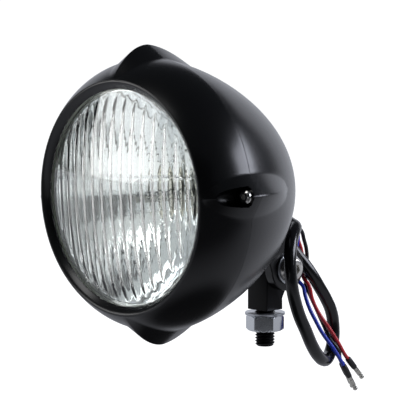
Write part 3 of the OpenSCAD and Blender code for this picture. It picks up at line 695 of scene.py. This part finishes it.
shade_casting(shell)
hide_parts("headlight_shell")
print("bowl with ears:", len(shell.data.polygons), "faces")

# %% [markdown]
# ### The front ring
#
# The ring carries on the bowl's curve to a rounded lip that slopes in to the glass. In each side
# fin an egg-shaped hollow opens to the front, which leaves an almond-shaped scoop with the clamp
# screw at its end.

# %% Build the ring
FRONT_FACE, LIP_END = SEAM_D - SEAM_GAP, -2.5
lip = [(52.5, 0.6), (52.5, 0), (52.6, -0.28), (52.85, -0.55), (53.5, -1.15), (54.3, -1.85),
       (54.9, -2.3), (55.5, -2.62), (56, -2.76), (56.4, -2.72)]
outer_rows = [(LIP_END + (FRONT_FACE - 0.2 - LIP_END) * t * (1 + t) / 2, 0)
              for t in (i / 44 for i in range(45))]
outer_rows += [(FRONT_FACE - 0.03, 0.05), (FRONT_FACE, 0.14)]
register = [(61.5, FRONT_FACE), (61.5, 16.8), (57.9, 13.5), (57.9, 12), (58.9, 12), (58.9, 10),
            (57.3, 9), (57.3, 0.6)]
points = plain_rows(lip) + finned_rows(outer_rows) + plain_rows(register)
ring_quads = flipped(looped_faces(len(points) // COLUMNS, COLUMNS))
bezel = new_piece("ring", points, ring_quads, black_enamel, "lamp")
print("ring faces before the scoops:", len(ring_quads))

# %% Cut the scoops
SCOOP_LENGTH, SCOOP_R, SCOOP_DROP, SCOOP_START = 16.4, 5.4, 5.2, 0.8
HEAD_SEAT_D, HEAD_SEAT_R, SCREW_HOLE_R = 17.6, 4.9, 2.2
egg = [(SCOOP_LENGTH * (1 - math.cos(math.radians(a))), SCOOP_R * math.sin(math.radians(a)))
       for a in (2, 5, 9, 14, 20, 27, 34, 42, 50, 58, 66, 74, 82, 90)]
for at in (LAMP_TURN, LAMP_TURN + math.pi):
    tip = Vector(lamp_point(at, SCREW_R - SCOOP_DROP, HEAD_SEAT_D - SCOOP_LENGTH + SCOOP_START))
    back = Vector(lamp_point(at, SCREW_R, HEAD_SEAT_D))
    cut_or_join(bezel, [
        turned_along("scoop", tip, back - tip, egg, black_enamel, None, 96),
        rod("head_seat", lamp_point(at, SCREW_R, 12.5), back, HEAD_SEAT_R, sides=96),
        rod("clearance", lamp_point(at, SCREW_R, 12), lamp_point(at, SCREW_R, 24),
            SCREW_HOLE_R)])
shade_casting(bezel)
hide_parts("front_bezel")
print("ring:", len(bezel.data.polygons), "faces")

# %% [markdown]
# ## The lens
#
# The glass is pressed: a smooth dome outside, and inside two fields of upright flutes that spread
# the beam sideways. The line where the fields meet crosses just above the bulb. The columns of
# the inner grid follow the flutes, so each narrow land between two flutes is a true flat strip.
# Each flute runs out in a point, as the pressing tool was ground. Glass this thick has a faint
# green cast, an IOR of 1.52 and a fire-polished skin.

# %% Make the glass
# Fire polish leaves slow waves, about 12 mm from crest to crest
lens_glass = drifting_finish("pressed lens glass", "#f8faf8", 12, 1, bump=(0.15, 0.1),
                             Roughness=0.0, IOR=1.52, Transmission_Weight=1.0)
print("finish:", lens_glass.name)

# %% Lay out the flutes
APERTURE_R, DOME_H, GLASS_T = 52.5, 6.8, 3.5
OUTER_R = (APERTURE_R ** 2 + DOME_H ** 2) / (2 * DOME_H)
DOME_D = OUTER_R - DOME_H
INNER_R = OUTER_R - GLASS_T
PITCH, LAND, DEPTH, HALF_FIELD = 6.83, 0.7, 0.9, 51.5
FLUTE_HALF = (PITCH - LAND) / 2
FLUTE_R = (FLUTE_HALF ** 2 + DEPTH ** 2) / (2 * DEPTH)
FLUTED_R, POINTED_END = HALF_FIELD - 2, 7
BREAK_H, BREAK_HALF, BREAK_CUT = 9.8, 0.12, 0.65
UP_STEPS, DOWN_STEPS = 44, 66
flute_middles = [(i - 7) * PITCH for i in range(15)]

across_lens = [-HALF_FIELD, -HALF_FIELD + 0.15, HALF_FIELD - 0.15, HALF_FIELD]
across_lens += [middle + FLUTE_HALF * s for middle in flute_middles
                for s in (-1, -0.86, -0.66, -0.44, -0.22, 0, 0.22, 0.44, 0.66, 0.86, 1)]
across_lens = sorted(x for x in across_lens if abs(x) <= HALF_FIELD)


def up_lens(x):
    """Heights of one column's points, below and above the line between the two fields."""
    reach = math.sqrt(max(0.3, HALF_FIELD ** 2 - x ** 2))
    line = min(BREAK_H, 0.8 * reach)
    low, high = line - BREAK_HALF, line + BREAK_HALF
    below = [-reach + (low + reach) * i / DOWN_STEPS for i in range(DOWN_STEPS + 1)]
    above = [high + (reach - high) * i / UP_STEPS for i in range(UP_STEPS + 1)]
    return below, above


def flute_cut(x, height, reach):
    """How deep the flutes cut into the glass at a point of the inside."""
    middle = min(flute_middles, key=lambda m: abs(m - x))
    end = min(reach - height, height + reach)
    full = DEPTH * min(1, max(0, end / POINTED_END)) ** 0.8
    return max(0, math.sqrt(FLUTE_R ** 2 - (x - middle) ** 2) - (FLUTE_R - full))


def dome_d(x, z, radius):
    """Depth of a dome of the glass at a place across the lens."""
    return DOME_D - math.sqrt(radius ** 2 - x ** 2 - z ** 2)


print("flutes:", len(flute_middles), "columns of points:", len(across_lens))

# %% Build the lens
GROW, GLASS_FRONT_D, GLASS_BACK_D = 52.3 / HALF_FIELD, 1.6, 5.1
inside, outside = [], []
for x in across_lens:
    below, above = up_lens(x)
    reach = math.sqrt(max(0, FLUTED_R ** 2 - x ** 2))
    for z in below + above:
        cut = flute_cut(x, z, reach) if abs(x) < FLUTED_R else 0
        if z in (below[-1], above[0]):
            cut *= BREAK_CUT
        inside.append((x, z, dome_d(x, z, INNER_R) - cut))
        outside.append((x * GROW, z * GROW, dome_d(x * GROW, z * GROW, OUTER_R)))

rows, cols = UP_STEPS + DOWN_STEPS + 2, len(across_lens)
patch = [(c * rows + r, c * rows + r + 1, (c + 1) * rows + r + 1, (c + 1) * rows + r)
         for c in range(cols - 1) for r in range(rows - 1)]
edge = [c * rows for c in range(cols)] + [(cols - 1) * rows + r for r in range(1, rows)]
edge += [c * rows + rows - 1 for c in range(cols - 2, -1, -1)] + list(range(rows - 2, 0, -1))


def lens_point(x, z, depth):
    """Lens points turn with the fins."""
    c, s = math.cos(LAMP_TURN), math.sin(LAMP_TURN)
    return (x * c - z * s, depth + LENS_Y, AXIS_Z + x * s + z * c)


points = [lens_point(*p) for p in inside + outside]
faces = patch + [tuple(i + len(inside) for i in reversed(f)) for f in patch]
loops = [edge]
for radius, depth in ((HALF_FIELD, GLASS_BACK_D), (56.6, GLASS_BACK_D), (57, GLASS_BACK_D - 0.3),
                      (57, GLASS_FRONT_D + 0.3), (56.6, GLASS_FRONT_D), (52.3, GLASS_FRONT_D)):
    loops.append(list(range(len(points), len(points) + len(edge))))
    for i in edge:
        x, z, _ = inside[i]
        r = math.hypot(x, z)
        points.append(lens_point(x * radius / r, z * radius / r, depth))
loops.append([i + len(inside) for i in edge])
count = len(edge)
for inner_loop, outer_loop in zip(loops, loops[1:]):
    faces += [(inner_loop[j], inner_loop[(j + 1) % count], outer_loop[(j + 1) % count],
               outer_loop[j]) for j in range(count)]
lens = new_piece("lens_glass", points, faces, lens_glass, "lamp", 24)
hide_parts("lens")
print("lens:", len(lens.data.polygons), "faces,", cols, "columns")

# %% [markdown]
# ## The reflector
#
# The reflector is a spun bowl, lacquered and then coated with aluminium in a vacuum. It is as
# bright as a mirror, with the shallow rings that spinning leaves, 4.6 mm apart and deepest near
# the bulb. They are modelled, because they break up what the flutes show. A metal keeps the
# default IOR, and only colour and roughness are set. The section is a parabola with the bulb's
# filament near its focus, so light from the front comes back between the flutes.

# %% Build the reflector
aluminium = drifting_finish("vacuum-coated aluminium", "#eceef0", 8, shine=(0.03, 0.09),
                            bump=(0.2, 0.1), Metallic=1.0)
FOCAL, BOWL_OPEN_R, BULB_HOLE_R, SHEET, STEPS = 16, 51, 12, 0.8, 120
RING_PITCH, RING_LEAST, RING_MORE, RING_REACH = 4.6, 0.02, 0.1, 34
FLANGE_D = GLASS_BACK_D + 0.1
VERTEX_D = GLASS_BACK_D + SHEET + BOWL_OPEN_R ** 2 / (4 * FOCAL)


def mirror_d(radius):
    """Depth of the reflecting parabola at a radius."""
    return VERTEX_D - radius ** 2 / (4 * FOCAL)


def spun_ring(radius):
    """How far a ring left by spinning stands out at a radius."""
    height = RING_LEAST + RING_MORE * max(0, 1 - radius / RING_REACH)
    return height * math.sin(2 * math.pi * radius / RING_PITCH)


steps = [BULB_HOLE_R + (BOWL_OPEN_R - BULB_HOLE_R) * i / STEPS for i in range(STEPS + 1)]
neck_end = mirror_d(BULB_HOLE_R) + 1.8
section = [(r, mirror_d(r) + spun_ring(r)) for r in steps]
section += [(BOWL_OPEN_R, FLANGE_D), (57, FLANGE_D), (57, GLASS_BACK_D + SHEET),
            (BOWL_OPEN_R + 1.2, GLASS_BACK_D + SHEET)]
section += [(r + 0.56, mirror_d(r) + SHEET) for r in reversed(steps[4::4])]
section += [(13, mirror_d(BULB_HOLE_R) + 0.56), (13, neck_end), (BULB_HOLE_R, neck_end)]
reflector = turned("mirror_bowl", section, aluminium)
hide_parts("reflector")
print("reflector depth:", round(VERTEX_D - GLASS_BACK_D, 1), "mm")

# %% [markdown]
# ## Finishes of the bulb, seals and hidden fittings
#
# Behind the glass sit the bulb and its holder. These pieces are small turned or bent parts, whose
# CAD shape is right, so they keep it and only get their finish: clear quartz for the bulb, a
# matte nickel cup under the filament, tinned brass for cap and blades, bright spring steel, and
# black rubber and nylon.

# %% Make the small finishes
def stock_metal(name, colour, dull, low, high, patch):
    """Bare or plated metal whose tone and shine drift over patches of so many millimetres."""
    return drifting_finish(name, colour, patch, 4, dull, (low, high), Metallic=1.0)


def moulded(name, colour, low, high, grain):
    """Rubber or plastic from a mould with a fine grain."""
    return drifting_finish(name, colour, grain, 3, shine=(low, high), bump=(0.3, 0.05))


quartz = drifting_finish("clear quartz tube", "#fbfcfd", 6, bump=(0.1, 0.05), Roughness=0.0,
                         IOR=1.46, Transmission_Weight=1.0)
tungsten = stock_metal("drawn tungsten", "#8f9093", "#6f7073", 0.3, 0.45, 1)
nickel = stock_metal("matte nickel", "#a9a8a4", "#8d8c88", 0.3, 0.45, 3)
tinned_brass = stock_metal("tinned brass", "#d2d0c8", "#a3a198", 0.12, 0.24, 2)
spring_steel = stock_metal("bright spring steel", "#b4b6ba", "#95979b", 0.22, 0.34, 4)
zinc_plate = stock_metal("bright zinc plate", "#cfd2d6", "#b3b7bd", 0.24, 0.4, 3)
stainless = stock_metal("stainless steel", "#e4e2dd", "#cbc9c4", 0.16, 0.3, 2)
seal_silicone = moulded("pale seal silicone", "#aab0a8", 0.45, 0.6, 1)
soft_rubber = moulded("black rubber", "#111112", 0.55, 0.7, 1.2)
nylon = moulded("black nylon", "#141416", 0.4, 0.5, 1)
shrink_sleeve = moulded("black shrink sleeve", "#0c0c0d", 0.32, 0.46, 0.8)
print("finishes so far:", len(bpy.data.materials))

# %% Give the CAD nodes their finishes
keep_and_finish = {
    "rubber_boot": soft_rubber, "cable_grommet": soft_rubber,
    "bulb_connector": nylon, "reflector_clips": spring_steel, "bulb_spring": spring_steel,
    "bulb_holder": zinc_plate, "bulb_glass": quartz, "bulb_filaments": tungsten,
    "bulb_shield": nickel, "bulb_cap": tinned_brass, "bulb_terminals": tinned_brass,
    "inner_leads": black_vinyl, "bezel_screws": stainless, "pivot_washers": zinc_plate,
}
for name, finish in keep_and_finish.items():
    mesh = nodes[name].data
    mesh.materials.clear()
    mesh.materials.append(finish)
print("nodes kept as they are:", len(keep_and_finish))

# %% Bed the glass in silicone
bed_section = [(52.8, 0.65), (57.26, 0.65), (57.26, 5.18), (51.4, 5.18), (51.4, 5.12),
               (57.04, 5.12), (57.04, 1.56), (52.8, 1.56)]
bed = turned("silicone_bed", bed_section, seal_silicone)
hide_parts("lens_seal")
print("bed:", len(bed.data.polygons), "faces")

# %% [markdown]
# ## The mount
#
# The block, its tongue and its stud are one forging, phosphated black and oiled. The tongue's
# round end sits between the ears on the pivot bolt. The stud is cut M10 with a pitch of 1.5 mm.
# A true helix catches the light on every turn: each point's radius follows from how far it is
# along the pitch at its own angle.

# %% Make black steel and the thread
black_steel = drifting_finish("oiled black steel", "#0c0c0e", 5, 4, shine=(0.26, 0.42),
                              bump=(0.3, 0.03), Specular_IOR_Level=0.12)
STUD_PITCH, THREAD_SHARE = 1.5, 0.54  # a thread is this share of its pitch deep


def threaded_rod(name, start, along, radius, pitch, length, finish, plain, taper):
    """A rod with a plain first stretch, then a helical thread, and a chamfer at its end."""
    start, along, side, other = line_axes(start, along)
    depth = THREAD_SHARE * pitch
    columns, rows = 48, int((length - plain) / pitch * 10)
    stations = [0] + [plain + (length - plain) * i / rows for i in range(rows + 1)]
    points = []
    for far in stations:
        for j in range(columns):
            phase = (far / pitch - j / columns) % 1
            dip = depth * min(1, max(0, abs(phase - 0.5) * 2.6 - 0.15)) if far > plain else 0
            r = min(radius - dip, radius - taper + max(0, length - far))
            a = 2 * math.pi * (j / columns)
            points.append(start + far * along + r * (math.cos(a) * side + math.sin(a) * other))
    return new_piece(name, points, capped_faces(len(stations), columns), finish, None)


print("thread depth of the stud:", round(THREAD_SHARE * STUD_PITCH, 2), "mm")

# %% Build the block with its stud
BLOCK_HALF, BLOCK_LOW, TONGUE_R, TONGUE_HALF = 5.6, -1.6, 9.3, 7
outline = [(-BLOCK_HALF, BLOCK_LOW), (BLOCK_HALF, BLOCK_LOW), (BLOCK_HALF, 4)]
outline += [(PIVOT_Y + TONGUE_R * math.cos(math.radians(a)),
             PIVOT_Z + TONGUE_R * math.sin(math.radians(a))) for a in range(-25, 181, 5)]
middle = (1, 12)
block_outline = [(y - middle[0], z - middle[1]) for y, z in outline]
block = slab("mount_body", block_outline, -TONGUE_HALF, TONGUE_HALF, black_steel, "mount",
             edge=0.7, centre=middle)
cut_or_join(block, [rod("pivot_hole", (-20, PIVOT_Y, PIVOT_Z), (20, PIVOT_Y, PIVOT_Z),
                        PIVOT_BORE_R)])
stud = threaded_rod("stud_core", (0, 0, 1), (0, 0, -1), 5, STUD_PITCH, 21.3, black_steel, 1.2, 1.2)
cut_or_join(block, [stud], "UNION")
block.data.set_sharp_from_angle(angle=math.radians(38))
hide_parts("mount_block")
print("block with stud:", len(block.data.polygons), "faces")

# %% [markdown]
# ## Nuts, washers and bolts
#
# The stud's nut is chromed and polished, and its washer is zinc plated. Polished faces only look
# right with edges that aren't knife sharp, so the flats meet in a small bevel and the chamfer
# cuts a curved line across each corner. The pivot bolt has a button head with a hexagon socket.

# %% Make chrome and build the stud's nut
chrome = drifting_finish("polished chrome", "#d9dcdf", 4, shine=(0.06, 0.13), bump=(0.2, 0.05),
                         Metallic=1.0)


def hexagon_nut(name, start, along, flats, height, bore, turn, finish, body):
    """A nut whose corners are turned off by a chamfer at both ends."""
    start, along = Vector(start), Vector(along).normalized()
    side = Vector((1, 0, 0)) if abs(along.x) < 0.5 else Vector((0, 1, 0))
    other = along.cross(side)
    blunt_corner = flats / math.sqrt(3) - 0.1225
    columns = 144

    def hexagon(angle):
        from_flat = (angle + math.pi / 6) % (math.pi / 3) - math.pi / 6
        return min(flats / 2 / math.cos(from_flat), blunt_corner)

    levels = [0, 0.18, 0.5, 0.9, 1.3, 1.7, 2.1]
    levels += [height - v for v in reversed(levels)]
    rings = [[(bore, 0)] * columns, [(bore + 0.6, 0)] * columns]
    for level in levels:
        turned_off = flats / 2 - 0.2 + min(level, height - level) / 0.62
        rings.append([(min(hexagon(a), turned_off), level) for a in circle(columns)])
    rings += [[(bore + 0.6, height)] * columns, [(bore, height)] * columns]
    points = []
    for ring in rings:
        for a, (r, level) in zip(circle(columns), ring):
            way = math.cos(a + turn) * side + math.sin(a + turn) * other
            points.append(start + level * along + r * way)
    faces = flipped(looped_faces(len(rings), columns))
    return new_piece(name, points, faces, finish, body, sharp_from=26)


nut = hexagon_nut("stud_hexagon", (0, 0, -12.3), (0, 0, 1), 17, 8, 5.06,
                  math.radians(10.4), chrome, "mount")
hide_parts("stud_nut")
print("nut:", len(nut.data.polygons), "faces")

# %% Build the stud's washer
# A punched washer has one edge rolled over by the punch, and the other with its burr taken off
HOLE, RIM, THICK, ROLL = 5.2, 10.15, 1.4, 0.3
washer_section = [(ROLL / 2, HOLE), (0, HOLE + ROLL / 2), (0, RIM - ROLL),
                  (ROLL * 0.3, RIM - ROLL * 0.3), (ROLL, RIM), (THICK - ROLL * 0.6, RIM),
                  (THICK, RIM - ROLL * 0.6), (THICK, HOLE + ROLL / 2), (THICK - ROLL / 2, HOLE)]
washer = turned_along("stud_flat_washer", (0, 0, -4.3), (0, 0, 1), washer_section, zinc_plate,
                      "mount", 96, 30, looped=True)
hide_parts("stud_washer")
print("washer:", len(washer.data.polygons), "faces")

# %% Build the pivot bolt
HEAD_X = EAR_IN + EAR_T + 1.3
HEAD_R, HEAD_H = 7, 4.4
profile = [(0, HEAD_H), (3.3, HEAD_H)]
profile += [(3.85 + 3.15 * math.cos(math.radians(a)), HEAD_H * math.sin(math.radians(a)))
            for a in range(78, 0, -6)]
profile += [(HEAD_R, 0.25), (HEAD_R - 0.2, 0), (4, 0)]
columns = 96
points = [(HEAD_X + out, PIVOT_Y + r * math.cos(a), PIVOT_Z + r * math.sin(a))
          for r, out in profile for a in circle(columns)]
last = (len(profile) - 1) * columns
faces = ring_faces(len(profile), columns) + [tuple(range(last, last + columns))]
bolt = new_piece("pivot_button_bolt", points, faces, stainless, "lamp")
bolt.data.validate()
socket = rod("socket", (HEAD_X + 1.1, PIVOT_Y, PIVOT_Z), (HEAD_X + 6, PIVOT_Y, PIVOT_Z),
             5 / math.sqrt(3), sides=6)
cut_or_join(bolt, [socket])
shank = threaded_rod("shank", (HEAD_X + 0.5, PIVOT_Y, PIVOT_Z), (-1, 0, 0), 4, 1.25,
                     2 * HEAD_X + 9.5, stainless, 16, 0.8)
cut_or_join(bolt, [shank], "UNION")
bolt.data.set_sharp_from_angle(angle=math.radians(32))
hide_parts("pivot_bolt")

far_nut = hexagon_nut("pivot_hexagon", (-HEAD_X, PIVOT_Y, PIVOT_Z), (-1, 0, 0), 13, 7.5, 4.06,
                      0, zinc_plate, "lamp")
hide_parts("pivot_nut")
print("bolt:", len(bolt.data.polygons), "faces")

# %% [markdown]
# ## Pin ends
#
# Each wire ends in a tinned brass pin that is rolled from sheet, so it keeps an open seam along
# its side, and it has a waist behind its round nose, where a socket's spring snaps in. A shrunk
# sleeve covers the crimp.

# %% Build the pins and sleeves
for colour, route in (("blue", blue_route), ("red", red_route), ("black", black_route)):
    end = Vector(route[-1])
    along = (end - Vector(route[-2])).normalized()
    pin_section = [(1, 1.1), (1.15, 1.25), (8.6, 1.25), (8.75, 1.12), (9.1, 1.12), (9.25, 1.25),
                   (12.7, 1.25), (12.95, 1.1), (13.15, 0.88), (13.9, 0.88)]
    pin_section += [(14.55 - 0.6 * math.cos(math.radians(a)),
                     0.88 + 0.37 * math.sin(math.radians(a))) for a in range(20, 91, 14)]
    pin_section += [(14.9 + 0.98 * math.sin(math.radians(a)),
                     1.25 * math.cos(math.radians(a))) for a in range(6, 86, 13)]
    pin = turned_along(colour + "_pin", end, along, pin_section, tinned_brass, "lamp")
    seam_side = along.cross(to_camera).cross(along).normalized()
    seam = rod("seam", end + 9.6 * along + 1.6 * seam_side, end + 12.4 * along + 1.6 * seam_side,
               0.62, sides=24)
    cut_or_join(pin, [seam])
    pin.data.set_sharp_from_angle(angle=math.radians(40))
    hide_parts("bullet_" + colour)
    sleeve_section = [(0, 1.15), (0.25, 1.4), (0.9, 1.58), (3.4, 1.6), (5.6, 1.56), (6.9, 1.5),
                      (7.3, 1.44), (7.5, 1.3)]
    sleeve = turned_along(colour + "_sleeve", end, along, sleeve_section, shrink_sleeve, "lamp")
    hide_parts("sleeve_" + colour)
print("pins and sleeves made for three wires")

# %% [markdown]
# ## Bevels on the small fittings
#
# The CAD nodes that stay have perfectly sharp edges, and no real edge is. A bevel of a fraction
# of a millimetre gives each one the thin highlight that the eye expects.

# %% Soften the kept nodes' edges
for name, width in (("bezel_screws", 0.15), ("pivot_washers", 0.2), ("bulb_connector", 0.4),
                    ("bulb_shield", 0.08), ("reflector_clips", 0.12)):
    weld = nodes[name].modifiers.new("joined points", "WELD")
    weld.merge_threshold = 0.002 * MM
    bevel = nodes[name].modifiers.new("soft edge", "BEVEL")
    bevel.width = width * MM
    bevel.segments = 2
    bevel.limit_method = "ANGLE"
    bevel.angle_limit = math.radians(35)
    bevel.harden_normals = True
print("edges softened")

# %% [markdown]
# ## Sizes and the end
#
# The looks must not change the part's size, so both boxes are written down.

# %% Measure and finish
dressed_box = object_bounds()
for label, (low_corner, high_corner) in (("CAD", cad_box), ("dressed", dressed_box)):
    print(label, "size in mm:", [round((b - a) / MM, 1) for a, b in zip(low_corner, high_corner)])
